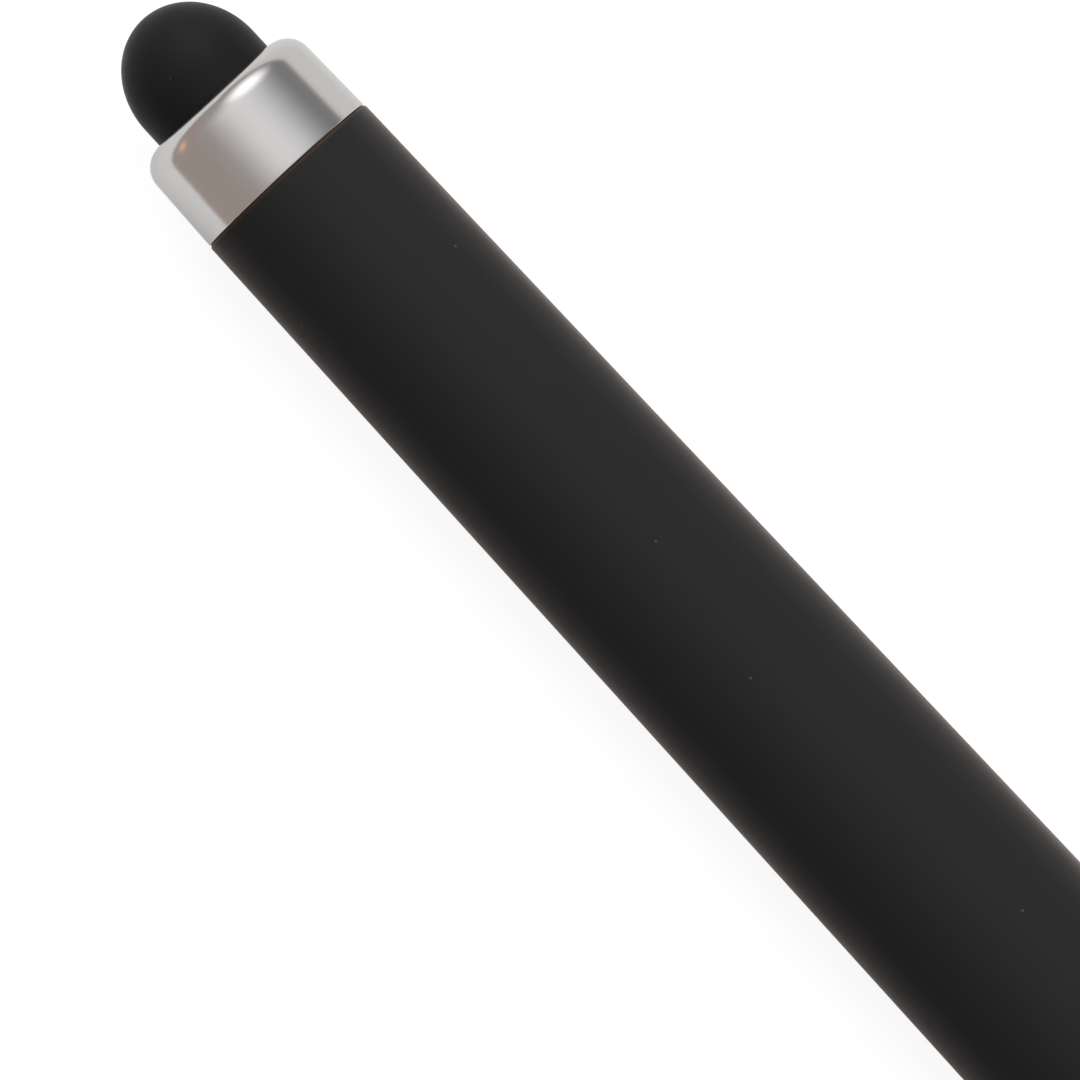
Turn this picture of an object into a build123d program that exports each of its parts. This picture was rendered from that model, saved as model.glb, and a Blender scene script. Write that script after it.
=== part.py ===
from build123d import *

import os
from math import asin, atan2, cos, degrees, hypot, pi, radians, sin, sqrt

# A twist-action ballpoint pen with a soft touchscreen tip on its top end. Sizes are in millimetres.
# The pen's axis is X, with the writing point towards +X and the touchscreen tip towards -X.
# The origin is on the axis, at the top end of the lower barrel. +Z is up as the pen lies on a table,
# where it rests on its barrels and on one long edge of its clip.

# Clearances
running_gap = 0.05  # radial, between metal pieces that turn or slide on each other
twist_gap = 0.15  # along the axis, between the upper barrel and the centre ring
slot_gap = 0.1  # on each side of the cross pin in its slots, and of the clip in the barrel
spring_gap = 0.2  # radial, inside and outside the return spring
loose_gap = 0.15  # radial, around the refill's point in the nose and the plug's post in the tip
end_gap = 1.0  # along the axis, left in front of the refill's steps at full travel

# Refill and its travel
refill_length = 98.0
refill_d = 5.8
refill_wall = 0.3
neck_d = 3.4
neck_length = 12.0
point_d = 2.4
point_length = 11.8
point_socket = 5.0
point_cone = 3.0
point_rim_d = 1.2
ink_channel_d = 0.5
ball_d = 1.0
ball_gap = 0.02
ball_hold = 0.15  # how far the socket's rim reaches past the middle of the ball
cap_head = 3.5
cap_spigot = 3.0
cap_vent_d = 1.0
ink_length = 45.0
refill_travel = 5.0
point_recess = 1.2  # how far the ball sits inside the nose when the refill is in

# Twist mechanism, from the refill outwards
guide_gap = 0.075
guide_wall = 0.5
guide_thread = 10.0
collar_length = 1.4
cam_wall = 0.575
cam_margin = 4.0
pusher_length = 8.0
pusher_chamfer = 0.4
pin_d = 1.4
pin_inset = 0.1
pin_chamfer = 0.15
snap_thickness = 0.5
snap_depth = 0.25
snap_opening = 50.0
guide_land = 1.0
upper_bush_length = 8.0
upper_bush_gap = 0.3
lower_bush_length = 14.0

# Barrels
barrel_wall = 1.3  # at the twist joint, where the pen is widest
barrel_top_wall = 0.7  # where the ferrule meets the upper barrel
barrel_tip_wall = 0.6  # where the nose cone meets the lower barrel
barrel_edge_r = 0.25
barrel_seam_r = 0.18  # sharper, where the ferrule meets the upper barrel
upper_straight = 9.0
upper_room = 16.35  # free length between the twist mechanism and the ferrule's spigot
lower_barrel_length = 50.0
lower_straight = 26.0

# Centre ring
ring_width = 3.0
ring_lip = 1.0
ring_edge_r = 0.3

# Nose cone
nose_length = 13.0
nose_step = 0.03
nose_rim = 0.45
nose_edge_r = 0.3
nose_start_angle = 5.0
nose_spigot = 8.0
chamber_clearance = 0.2

# Return spring
spring_wire_d = 0.4
spring_turns = 9
spring_steps = 4  # pairs of arcs drawn in each turn
spring_gap_steps = 40  # places in each turn where the space between turns is measured

# Ferrule and touchscreen tip
ferrule_length = 4.9
ferrule_step = 0.03
ferrule_taper = 0.13  # loss of radius from the seam to the top
ferrule_edge_r = 1.2
ferrule_round_share = 0.95  # most of the top's width that the round may take
ferrule_seam_r = 0.08
ferrule_spigot = 7.0
ferrule_lip = 1.0
tip_d = 6.7
tip_height = 4.8
tip_crown = 3.8
tip_wall = 1.0
tip_flange = 0.45
tip_flange_thickness = 1.0
tip_shoulder = 0.15
plug_length = 5.0

# Clip
clip_inset = 4.0
clip_length = 36.0
clip_width = 4.2
clip_tip_width = 3.4
clip_thickness = 0.7
clip_stand_off = 2.0
clip_contact_gap = 0.15
clip_lip = 3.2
clip_lift = 0.9
clip_bend_r = 1.2
clip_contact_r = 5.0
clip_toe = 1.3
clip_toe_gap = 0.3
clip_toe_r = 0.4
clip_corner_r = 1.2
clip_overrun = 1.0  # how far behind the foot the strap's taper starts

# Diameters that follow from the fits, from the refill outwards
guide_bore_d = refill_d + 2 * guide_gap
guide_d = guide_bore_d + 2 * guide_wall
bearing_d = guide_d + 2 * running_gap
barrel_bore_d = bearing_d + 2 * cam_wall
barrel_d = barrel_bore_d + 2 * barrel_wall
barrel_top_d = barrel_bore_d + 2 * barrel_top_wall
barrel_tip_d = barrel_bore_d + 2 * barrel_tip_wall
pusher_d = guide_bore_d - 2 * running_gap
collar_d = barrel_bore_d - 2 * slot_gap
groove_d = guide_d - 2 * snap_depth
ferrule_d = barrel_top_d - 2 * ferrule_step
ferrule_top_d = ferrule_d - 2 * ferrule_taper
tip_flange_d = tip_d + 2 * tip_flange
tip_cavity_d = tip_d - 2 * tip_wall
plug_d = tip_d - 2 * tip_shoulder
post_d = tip_cavity_d - 2 * loose_gap
tube_bore_d = refill_d - 2 * refill_wall
neck_bore_d = point_d - 2 * refill_wall
spring_d = neck_d + 2 * spring_gap + spring_wire_d
chamber_d = spring_d + spring_wire_d + 2 * spring_gap
sleeve_bore_d = refill_d + 2 * chamber_clearance
nose_exit_d = point_d + 2 * loose_gap
nose_tip_d = nose_exit_d + 2 * nose_rim
socket_r = ball_d / 2 + ball_gap
slot_width = pin_d + 2 * slot_gap
slot_depth = 3 * cam_wall  # of the tool that cuts the cam slots, past both faces of the wall

# Stations along the axis, towards the writing point
x_point = lower_barrel_length + nose_length
x_ball_end = x_point - point_recess
x_ball = x_ball_end - ball_d / 2
x_neck_front = x_ball_end - point_length
x_shoulder = x_neck_front - neck_length
x_point_rear = x_neck_front - point_socket
x_tube_end = x_shoulder - refill_wall
x_refill_rear = x_ball_end - refill_length
x_tube_rear = x_refill_rear + cap_head
x_spring_seat = x_neck_front + refill_travel + end_gap
x_chamber = x_shoulder + refill_travel + end_gap
x_nose_rear = lower_barrel_length - nose_spigot

# Stations along the axis, towards the touchscreen tip
x_upper_end = -ring_width - twist_gap
x_taper_end = x_upper_end - upper_straight
x_collar = -ring_width - collar_length
x_upper_bush = x_collar - upper_bush_gap - upper_bush_length
x_pusher_rear = x_refill_rear - pusher_length
x_pin = x_refill_rear - pusher_length / 2
x_cam_rear = x_pin - cam_margin
x_cam_front = x_pin + refill_travel + cam_margin
x_snap = x_cam_rear - slot_gap
x_guide_rear = x_snap - snap_thickness - guide_land
x_spigot_end = x_guide_rear - upper_room
x_seam = x_spigot_end - ferrule_spigot
x_ferrule_top = x_seam - ferrule_length
x_tip_end = x_ferrule_top - tip_height
x_crown = x_tip_end + tip_crown
x_flange = x_ferrule_top + ferrule_lip
x_plug = x_flange + tip_flange_thickness

# Clip: its own plane holds the pen's axis and the clip's middle, turned below the horizontal so far
# that the clip's edge and the barrels touch the same table top
x_foot = x_seam + clip_inset
x_clip_end = x_foot + clip_length
x_contact = x_clip_end - clip_lip
barrel_slope = (barrel_d - barrel_top_d) / 2 / (x_taper_end - x_seam)
clip_root_r = barrel_top_d / 2 + barrel_slope * clip_inset + clip_stand_off + clip_thickness / 2
clip_contact = barrel_top_d / 2 + barrel_slope * (x_contact - x_seam) + clip_contact_gap + clip_thickness / 2
clip_toe_at = sqrt(barrel_bore_d**2 - clip_width**2) / 2 - clip_toe_gap - clip_thickness / 2
clip_crest = clip_root_r + clip_thickness / 2
clip_angle = asin(barrel_d / 2 / hypot(clip_crest, clip_width / 2)) - atan2(clip_width / 2, clip_crest)
clip_out = (0, cos(clip_angle), -sin(clip_angle))
clip_across = (0, sin(clip_angle), cos(clip_angle))
clip_side = Plane(origin=(0, 0, 0), x_dir=(1, 0, 0), z_dir=clip_across)
clip_top = Plane(origin=(0, 0, 0), x_dir=(1, 0, 0), z_dir=clip_out)


def band(x_start, x_end, inner_d, outer_d, mode=Mode.ADD):
    """Draws the half section of a tube between two stations on the axis."""
    with Locations(((x_start + x_end) / 2, (inner_d + outer_d) / 4)):
        Rectangle(x_end - x_start, (outer_d - inner_d) / 2, mode=mode)


def end_rims(section):
    """Returns the outer corners at the two ends of a tube's half section."""
    stations = section.vertices().group_by(Axis.X)
    return [stations[0].sort_by(Axis.Y)[-1], stations[-1].sort_by(Axis.Y)[-1]]


def coil_points(x_start, x_end, coil_d, turns, per_turn):
    """Returns the points and directions of a coil round the axis."""
    rise = (x_end - x_start) / turns / (2 * pi)
    points = []
    directions = []
    for step in range(turns * per_turn + 1):
        angle = 2 * pi * step / per_turn
        across = Vector(0, cos(angle), sin(angle))
        along = Vector(0, -sin(angle), cos(angle))
        points.append(across * (coil_d / 2) + Vector(x_start + rise * angle, 0, 0))
        directions.append((along * (coil_d / 2) + Vector(rise, 0, 0)).normalized())
    return points, directions


def biarc(start, start_direction, end, end_direction):
    """Draws two arcs that leave the start and reach the end in the given directions."""
    chord = end - start
    lean = chord.dot(start_direction + end_direction)
    spread = 2 * (1 - start_direction.dot(end_direction))
    reach = (sqrt(lean * lean + spread * chord.dot(chord)) - lean) / spread
    corner_a = start + start_direction * reach
    corner_b = end - end_direction * reach
    middle = (corner_a + corner_b) * 0.5
    TangentArc(start, middle, tangent=start_direction)
    TangentArc(middle, end, tangent=corner_b - corner_a)


def coil_gap(points, per_turn, wire_d):
    """Returns the least space between two turns of a coil, measured on its points."""
    least = None
    for first in range(len(points)):
        for second in range(first + per_turn // 2, len(points)):
            space = (points[first] - points[second]).length - wire_d
            if least is None or space < least:
                least = space
    return least


# Touchscreen tip: a hollow rubber dome with a flange that the ferrule's lip holds
with BuildPart() as stylus_tip:
    with BuildSketch(Plane.XY):
        with BuildLine():
            EllipticalCenterArc((x_crown, 0), tip_crown, tip_d / 2, start_angle=90, arc_size=90)
            Polyline(
                (x_crown, tip_d / 2),
                (x_flange, tip_d / 2),
                (x_flange, tip_flange_d / 2),
                (x_plug, tip_flange_d / 2),
                (x_plug, tip_cavity_d / 2),
                (x_crown, tip_cavity_d / 2),
            )
            EllipticalCenterArc(
                (x_crown, 0), tip_crown - tip_wall, tip_cavity_d / 2, start_angle=90, arc_size=90
            )
            Line((x_tip_end + tip_wall, 0), (x_tip_end, 0))
        make_face()
    revolve(axis=Axis.X)

# Plug behind the tip: its face clamps the flange, its post keeps the dome from being pushed right in
with BuildPart() as tip_plug:
    with BuildSketch(Plane.XY):
        band(x_plug, x_plug + plug_length, 0, plug_d)
        band(x_crown, x_plug, 0, post_d)
    revolve(axis=Axis.X)

# Ferrule: rounded shoulder, lip over the tip's flange, and a spigot in the barrel with a notch for the clip
ferrule_round = min(ferrule_edge_r, ferrule_round_share * (ferrule_top_d - tip_d) / 2)
with BuildPart() as ferrule:
    with BuildSketch(Plane.XY) as ferrule_section:
        with BuildLine():
            Polyline(
                (x_ferrule_top, tip_d / 2),
                (x_ferrule_top, ferrule_top_d / 2),
                (x_seam, ferrule_d / 2),
                (x_seam, barrel_bore_d / 2),
                (x_spigot_end, barrel_bore_d / 2),
                (x_spigot_end, plug_d / 2),
                (x_plug, plug_d / 2),
                (x_plug, tip_flange_d / 2),
                (x_flange, tip_flange_d / 2),
                (x_flange, tip_d / 2),
                close=True,
            )
        make_face()
        fillet(ferrule_section.vertices().sort_by(Axis.Y)[-1], ferrule_seam_r)
        shoulder = ferrule_section.vertices().group_by(Axis.X)[0].sort_by(Axis.Y)[-1]
        fillet(shoulder, ferrule_round)
    revolve(axis=Axis.X)
    with BuildSketch(clip_side):
        band(x_foot - slot_gap, x_spigot_end, clip_thickness, barrel_d)
    extrude(amount=clip_width / 2 + slot_gap, both=True, mode=Mode.SUBTRACT)

# Upper barrel: a tube that widens to the twist joint, with a slot for the clip's foot
with BuildPart() as upper_barrel:
    with BuildSketch(Plane.XY) as upper_section:
        with BuildLine():
            Polyline(
                (x_seam, barrel_bore_d / 2),
                (x_seam, barrel_top_d / 2),
                (x_taper_end, barrel_d / 2),
                (x_upper_end, barrel_d / 2),
                (x_upper_end, barrel_bore_d / 2),
                close=True,
            )
        make_face()
        fillet(end_rims(upper_section)[0], barrel_seam_r)
        fillet(end_rims(upper_section)[1], barrel_edge_r)
    revolve(axis=Axis.X)
    with BuildSketch(clip_side):
        band(x_foot - slot_gap, x_foot + clip_thickness + slot_gap, clip_thickness, barrel_d)
    extrude(amount=clip_width / 2 + slot_gap, both=True, mode=Mode.SUBTRACT)

# Clip: one bent strip, with a toe under the barrel's wall, a foot through its slot and a strap outside
with BuildPart() as clip:
    with BuildSketch(clip_side):
        with BuildLine():
            x_foot_middle = x_foot + clip_thickness / 2
            FilletPolyline(
                (x_foot_middle + clip_toe, clip_toe_at),
                (x_foot_middle, clip_toe_at),
                (x_foot_middle, clip_root_r),
                (x_contact, clip_contact),
                (x_clip_end, clip_contact + clip_lift),
                radius=(clip_toe_r, clip_bend_r, clip_contact_r),
            )
        trace(line_width=clip_thickness)
    extrude(amount=clip_width / 2, both=True)
    with BuildSketch(clip_top) as clip_plan:
        with BuildLine():
            Polyline(
                (x_foot - clip_overrun, -clip_width / 2),
                (x_clip_end, -clip_tip_width / 2),
                (x_clip_end, clip_tip_width / 2),
                (x_foot - clip_overrun, clip_width / 2),
                close=True,
            )
        make_face()
        fillet(clip_plan.vertices().group_by(Axis.X)[-1], clip_corner_r)
    extrude(amount=barrel_d, mode=Mode.INTERSECT)

# Bearing bush in the lower end of the upper barrel
with BuildPart() as upper_bush:
    with BuildSketch(Plane.XY):
        band(x_upper_bush, x_upper_bush + upper_bush_length, bearing_d, barrel_bore_d)
    revolve(axis=Axis.X)

# Friction ring between the bush and the cam tube
friction_wire_d = (barrel_bore_d - bearing_d) / 2
with BuildPart() as friction_ring:
    with BuildSketch(Plane.XY):
        with Locations((x_upper_bush - friction_wire_d / 2, (barrel_bore_d + bearing_d) / 4)):
            Circle(friction_wire_d / 2)
    revolve(axis=Axis.X)

# Cam tube: two helical slots carry the cross pin along by the refill's travel in half a turn
with BuildPart() as cam_tube:
    with BuildSketch(Plane.XY):
        band(x_cam_rear, x_cam_front, bearing_d, barrel_bore_d)
    revolve(axis=Axis.X)
    with BuildLine() as helix:
        Helix(
            pitch=2 * refill_travel,
            height=refill_travel,
            radius=(barrel_bore_d + bearing_d) / 4,
            center=(x_pin, 0, 0),
            direction=(1, 0, 0),
            lefthand=True,
        )
    start_angle = degrees(atan2((helix.line @ 0).Z, (helix.line @ 0).Y))
    for pin_angle in (90, 270):
        slot_path = helix.line.rotate(Axis.X, pin_angle - start_angle)
        slot_start = slot_path @ 0
        outwards = slot_start - Vector(x_pin, 0, 0)
        with BuildSketch(Plane(origin=slot_start, x_dir=outwards, z_dir=slot_path % 0)):
            Rectangle(slot_depth, slot_width)
        sweep(path=slot_path.edge(), is_frenet=True, mode=Mode.SUBTRACT)
    with BuildSketch(Plane.XY):
        with Locations((x_pin, 0), (x_pin + refill_travel, 0)):
            Circle(slot_width / 2)
    extrude(amount=barrel_d, both=True, mode=Mode.SUBTRACT)

# Guide sleeve: a collar that clamps the centre ring, straight slots for the cross pin, a snap ring's groove
with BuildPart() as guide_sleeve:
    with BuildSketch(Plane.XY):
        band(x_guide_rear, guide_thread, guide_bore_d, guide_d)
        band(x_collar, -ring_width, guide_bore_d, collar_d)
        band(x_snap - snap_thickness, x_snap, groove_d, guide_d, mode=Mode.SUBTRACT)
    revolve(axis=Axis.X)
    with BuildSketch(Plane.XY):
        with Locations((x_pin + refill_travel / 2, 0)):
            SlotCenterToCenter(refill_travel, slot_width)
    extrude(amount=barrel_d, both=True, mode=Mode.SUBTRACT)

# Snap ring behind the cam tube
with BuildPart() as snap_ring:
    with BuildSketch(Plane.XY):
        band(x_snap - snap_thickness, x_snap, groove_d, collar_d)
    revolve(axis=Axis.X, revolution_arc=360 - snap_opening)

# Pusher behind the refill
with BuildPart() as pusher:
    with BuildSketch(Plane.XY) as pusher_section:
        band(x_pusher_rear, x_refill_rear, 0, pusher_d)
        chamfer(pusher_section.vertices().sort_by(Axis.Y)[-2:], pusher_chamfer)
    revolve(axis=Axis.X)
    with BuildSketch(Plane.XY):
        with Locations((x_pin, 0)):
            Circle(pin_d / 2)
    extrude(amount=barrel_d, both=True, mode=Mode.SUBTRACT)

# Cross pin through the pusher, the guide sleeve's slots and the cam tube's slots
with BuildPart() as cross_pin:
    with BuildSketch(Plane.XY):
        with Locations((x_pin, 0)):
            Circle(pin_d / 2)
    extrude(amount=barrel_bore_d / 2 - pin_inset, both=True)
    chamfer(cross_pin.edges().filter_by(GeomType.CIRCLE), pin_chamfer)

# Centre ring between the two halves
with BuildPart() as centre_ring:
    with BuildSketch(Plane.XY) as ring_section:
        band(-ring_width, 0, barrel_bore_d, barrel_d)
        fillet(ring_section.vertices().sort_by(Axis.Y)[-2:], ring_edge_r)
        band(-ring_width, ring_lip - ring_width, guide_d, barrel_bore_d)
    revolve(axis=Axis.X)

# Insert in the lower barrel that takes the guide sleeve's thread
with BuildPart() as lower_bush:
    with BuildSketch(Plane.XY):
        band(ring_lip - ring_width, ring_lip - ring_width + lower_bush_length, guide_d, barrel_bore_d)
    revolve(axis=Axis.X)

# Lower barrel: straight for the grip, then an easy curve down to the nose cone
with BuildPart() as lower_barrel:
    with BuildSketch(Plane.XY) as lower_section:
        with BuildLine():
            Line((0, barrel_d / 2), (lower_straight, barrel_d / 2))
            TangentArc(
                (lower_straight, barrel_d / 2),
                (lower_barrel_length, barrel_tip_d / 2),
                tangent=(1, 0),
            )
            Polyline(
                (lower_barrel_length, barrel_tip_d / 2),
                (lower_barrel_length, barrel_bore_d / 2),
                (0, barrel_bore_d / 2),
                (0, barrel_d / 2),
            )
        make_face()
        fillet(end_rims(lower_section), barrel_edge_r)
    revolve(axis=Axis.X)

# Nose cone: a spigot in the lower barrel, the spring's chamber and the exit hole
nose_direction = (cos(radians(nose_start_angle)), -sin(radians(nose_start_angle)))
nose_joint_r = barrel_tip_d / 2 - nose_step
with BuildPart() as nose_cone:
    with BuildSketch(Plane.XY) as nose_section:
        with BuildLine():
            TangentArc(
                (lower_barrel_length, nose_joint_r),
                (x_point, nose_tip_d / 2),
                tangent=nose_direction,
            )
            Polyline(
                (x_point, nose_tip_d / 2),
                (x_point, nose_exit_d / 2),
                (x_spring_seat, nose_exit_d / 2),
                (x_spring_seat, chamber_d / 2),
                (x_chamber, chamber_d / 2),
                (x_chamber, sleeve_bore_d / 2),
                (x_nose_rear, sleeve_bore_d / 2),
                (x_nose_rear, barrel_bore_d / 2),
                (lower_barrel_length, barrel_bore_d / 2),
                (lower_barrel_length, nose_joint_r),
            )
        make_face()
        fillet(nose_section.vertices().group_by(Axis.X)[-1].sort_by(Axis.Y)[-1], nose_edge_r)
    revolve(axis=Axis.X)

# Return spring between the refill's shoulder and the seat in the nose cone
spring_start = x_shoulder + spring_wire_d / 2
spring_end = x_spring_seat - spring_wire_d / 2
spring_points, spring_directions = coil_points(
    spring_start, spring_end, spring_d, spring_turns, spring_steps
)
with BuildPart() as return_spring:
    with BuildLine() as coil:
        for step in range(len(spring_points) - 1):
            biarc(
                spring_points[step],
                spring_directions[step],
                spring_points[step + 1],
                spring_directions[step + 1],
            )
    with BuildSketch(Plane(origin=spring_points[0], z_dir=spring_directions[0])):
        Circle(spring_wire_d / 2)
    sweep(path=coil.wire())
fine_points = coil_points(spring_start, spring_end, spring_d, spring_turns, spring_gap_steps)[0]
least_gap = coil_gap(fine_points, spring_gap_steps, spring_wire_d)
print("least gap between the return spring's turns:", round(least_gap, 3), "mm")

# Refill tube, drawn down to a neck that holds the point
with BuildPart() as refill_tube:
    with BuildSketch(Plane.XY):
        band(x_tube_rear, x_tube_end, tube_bore_d, refill_d)
        band(x_tube_end, x_shoulder, neck_bore_d, refill_d)
        band(x_shoulder, x_neck_front, neck_bore_d, neck_d)
        band(x_point_rear, x_neck_front, neck_bore_d, point_d, mode=Mode.SUBTRACT)
    revolve(axis=Axis.X)

# Refill cap with an air vent
with BuildPart() as refill_cap:
    with BuildSketch(Plane.XY):
        band(x_refill_rear, x_tube_rear, cap_vent_d, refill_d)
        band(x_tube_rear, x_tube_rear + cap_spigot, cap_vent_d, tube_bore_d)
    revolve(axis=Axis.X)

# Ink in the tube and the neck
with BuildPart() as ink_fill:
    with BuildSketch(Plane.XY):
        band(x_tube_end - ink_length, x_tube_end, 0, tube_bore_d)
        band(x_tube_end, x_point_rear, 0, neck_bore_d)
    revolve(axis=Axis.X)

# Refill point: ink channel, cone and the socket whose rim keeps the ball in
x_rim = x_ball + ball_hold
with BuildPart() as refill_point:
    with BuildSketch(Plane.XY):
        with BuildLine():
            rim_edge = (x_rim, sqrt(socket_r**2 - ball_hold**2))
            channel_edge = (x_ball - sqrt(socket_r**2 - (ink_channel_d / 2) ** 2), ink_channel_d / 2)
            ThreePointArc(rim_edge, (x_ball, socket_r), channel_edge)
            Polyline(
                channel_edge,
                (x_point_rear, ink_channel_d / 2),
                (x_point_rear, point_d / 2),
                (x_ball_end - point_cone, point_d / 2),
                (x_rim, point_rim_d / 2),
                rim_edge,
            )
        make_face()
    revolve(axis=Axis.X)

# Writing ball
with BuildPart() as writing_ball:
    with Locations((x_ball, 0, 0)):
        Sphere(ball_d / 2)

pieces = {
    "stylus_tip": stylus_tip,
    "tip_plug": tip_plug,
    "ferrule": ferrule,
    "upper_barrel": upper_barrel,
    "clip": clip,
    "upper_bush": upper_bush,
    "friction_ring": friction_ring,
    "cam_tube": cam_tube,
    "guide_sleeve": guide_sleeve,
    "snap_ring": snap_ring,
    "pusher": pusher,
    "cross_pin": cross_pin,
    "centre_ring": centre_ring,
    "lower_bush": lower_bush,
    "lower_barrel": lower_barrel,
    "nose_cone": nose_cone,
    "return_spring": return_spring,
    "refill_tube": refill_tube,
    "refill_cap": refill_cap,
    "ink_fill": ink_fill,
    "refill_point": refill_point,
    "writing_ball": writing_ball,
}
os.makedirs("parts", exist_ok=True)
for label, piece in pieces.items():
    piece.part.label = label
    export_step(piece.part, f"parts/{label}.step")
print("clip angle below the horizontal:", round(degrees(clip_angle), 3), "degrees")
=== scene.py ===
from math import acos, asin, atan2, cos, hypot, pi, radians, sin

import bmesh
import bpy
from mathutils import Matrix, Vector


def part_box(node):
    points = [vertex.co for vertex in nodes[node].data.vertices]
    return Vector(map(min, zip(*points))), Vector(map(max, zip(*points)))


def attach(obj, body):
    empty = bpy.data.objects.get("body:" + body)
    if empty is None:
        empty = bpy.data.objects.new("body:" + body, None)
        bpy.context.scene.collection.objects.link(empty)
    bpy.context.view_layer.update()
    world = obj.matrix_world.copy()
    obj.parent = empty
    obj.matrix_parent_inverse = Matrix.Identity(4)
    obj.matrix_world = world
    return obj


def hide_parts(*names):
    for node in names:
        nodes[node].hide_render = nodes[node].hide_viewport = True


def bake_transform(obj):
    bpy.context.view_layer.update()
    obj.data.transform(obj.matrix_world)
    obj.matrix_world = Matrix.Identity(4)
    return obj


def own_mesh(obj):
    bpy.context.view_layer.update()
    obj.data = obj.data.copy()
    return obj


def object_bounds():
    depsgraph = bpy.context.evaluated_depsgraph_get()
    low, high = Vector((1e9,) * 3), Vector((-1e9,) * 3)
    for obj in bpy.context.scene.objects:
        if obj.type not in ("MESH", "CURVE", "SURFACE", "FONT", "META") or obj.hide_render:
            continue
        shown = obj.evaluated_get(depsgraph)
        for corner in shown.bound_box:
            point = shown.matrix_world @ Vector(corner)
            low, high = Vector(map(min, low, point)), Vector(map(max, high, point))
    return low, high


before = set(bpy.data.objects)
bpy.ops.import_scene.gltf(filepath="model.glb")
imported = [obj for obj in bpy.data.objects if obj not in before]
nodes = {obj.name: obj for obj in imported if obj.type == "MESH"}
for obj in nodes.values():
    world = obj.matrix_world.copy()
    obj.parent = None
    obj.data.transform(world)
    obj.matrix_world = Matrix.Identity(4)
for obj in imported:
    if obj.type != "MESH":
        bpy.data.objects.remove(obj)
cad_low, cad_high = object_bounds()

# A twist pen with a soft touchscreen tip. Lengths are in metres, and the pen's axis is X,
# with the soft tip towards -X and the writing point towards +X.
MM = 0.001

# Fineness of the turned pieces
TURN_STEPS = 144
ROUND_STEPS = 10
CURVE_STEPS = 24
LONGEST_EDGE = 0.5 * MM
MERGE_DISTANCE = 0.001 * MM
SMOOTH_ANGLE = radians(32)

# Radii of the turned pieces, from the axis outwards
POINT_R = 1.2 * MM
TIP_R = 3.35 * MM
GUIDE_R = 3.475 * MM
BORE_R = 4.1 * MM
BARREL_TOP_R = 4.8 * MM
BARREL_TIP_R = 4.7 * MM

# Soft tip
TIP_CROWN = 3.8 * MM
TIP_WALL = 1.0 * MM
TIP_FLANGE = 1.0 * MM

# Ferrule
FERRULE_TAPER = 0.13 * MM
FERRULE_EDGE_R = 1.2 * MM
FERRULE_SEAM_R = 0.08 * MM
FERRULE_LIP = 1.0 * MM
PLUG_R = 3.2 * MM

# Barrels and the ring between them
UPPER_STRAIGHT = 9.0 * MM
LOWER_STRAIGHT = 26.0 * MM
BARREL_SEAM_R = 0.18 * MM
BARREL_EDGE_R = 0.25 * MM
RING_EDGE_R = 0.3 * MM
RING_LIP = 1.0 * MM

# Nose cone
NOSE_ANGLE = radians(5)
NOSE_TIP_R = 1.8 * MM
NOSE_EXIT_R = 1.35 * MM
NOSE_EDGE_R = 0.3 * MM
SPRING_SEAT = 7.0 * MM  # from the exit hole back to the spring's seat
CHAMBER_LENGTH = 12.0 * MM
CHAMBER_R = 2.5 * MM
SLEEVE_R = 3.1 * MM

# Refill point and its ball
POINT_CONE = 2.65 * MM
POINT_RIM_R = 0.6 * MM
INK_CHANNEL_R = 0.25 * MM
BALL_R = 0.5 * MM
BALL_GAP = 0.02 * MM
BALL_HOLD = 0.15 * MM  # how far the point's rim reaches past the middle of the ball
BALL_DIVISIONS = 5

# Clip
CLIP_WIDTH = 4.2 * MM
CLIP_TIP_WIDTH = 3.4 * MM
CLIP_OVERRUN = 1.0 * MM  # how far behind the foot the strap's taper starts
CLIP_THICKNESS = 0.7 * MM
CLIP_STAND_OFF = 2.0 * MM
CLIP_CONTACT_GAP = 0.15 * MM
CLIP_LIP = 3.2 * MM
CLIP_LIFT = 0.9 * MM
CLIP_BEND_R = 1.2 * MM
CLIP_CONTACT_ROUND = 1.25 * MM  # how far from the contact its round starts
CLIP_CORNER_R = 1.2 * MM
CLIP_EDGE_R = 0.12 * MM
CLIP_EDGE_STEPS = 4
CLIP_EDGE_ANGLE = radians(50)  # only a sharper turn than this is rounded as an edge
CLIP_LONGEST_EDGE = 2.0 * MM
CLIP_TOE = 1.3 * MM
CLIP_TOE_R = 0.4 * MM
CLIP_TOE_AT = 2.87 * MM
SLOT_GAP = 0.1 * MM

# Finishes. Grains, patches and skins are in marks per millimetre.
NOISE_RANGE = (0.3, 0.7)
PLAIN_DETAIL = 3.0
FINE_DETAIL = 4.0
SPECK_CORE = 0.4
SHEEN_ROUGHNESS = 0.3
SHEEN_TINT = (1.0, 0.68, 0.55, 1)
# Painted reflection: a warm brown glint of the chrome, painted into the lacquer on the barrel's end beside
# the ferrule
SEAM_GLINT_BROWN = (0.042, 0.023, 0.016)
SEAM_GLINT_REACH = (0.22 * MM, 0.07 * MM)  # from the seam: where the painted glint begins, and where it is full
SEAM_GLINT_PATCHES = 0.5
SEAM_GLINT_SHARES = (0.0, 0.9)
METAL_PATCHES = 0.4
MOULDED_PATCHES = 0.5
METAL_EDGE_TINT = (0.85, 0.85, 0.85, 1)

# Photograph: places in pixels of its 1080 x 1080 frame
PHOTO_SIZE = 1080
SEAM_PIXEL = (287.0, 175.4)
FERRULE_PIXELS = 209.1
PEN_TURN = radians(47.25)

# Camera
CAMERA_HEIGHT = radians(45)
CAMERA_LEAN = radians(1.0)
CAMERA_DISTANCE = 1.2
SENSOR = 36.0

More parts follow.
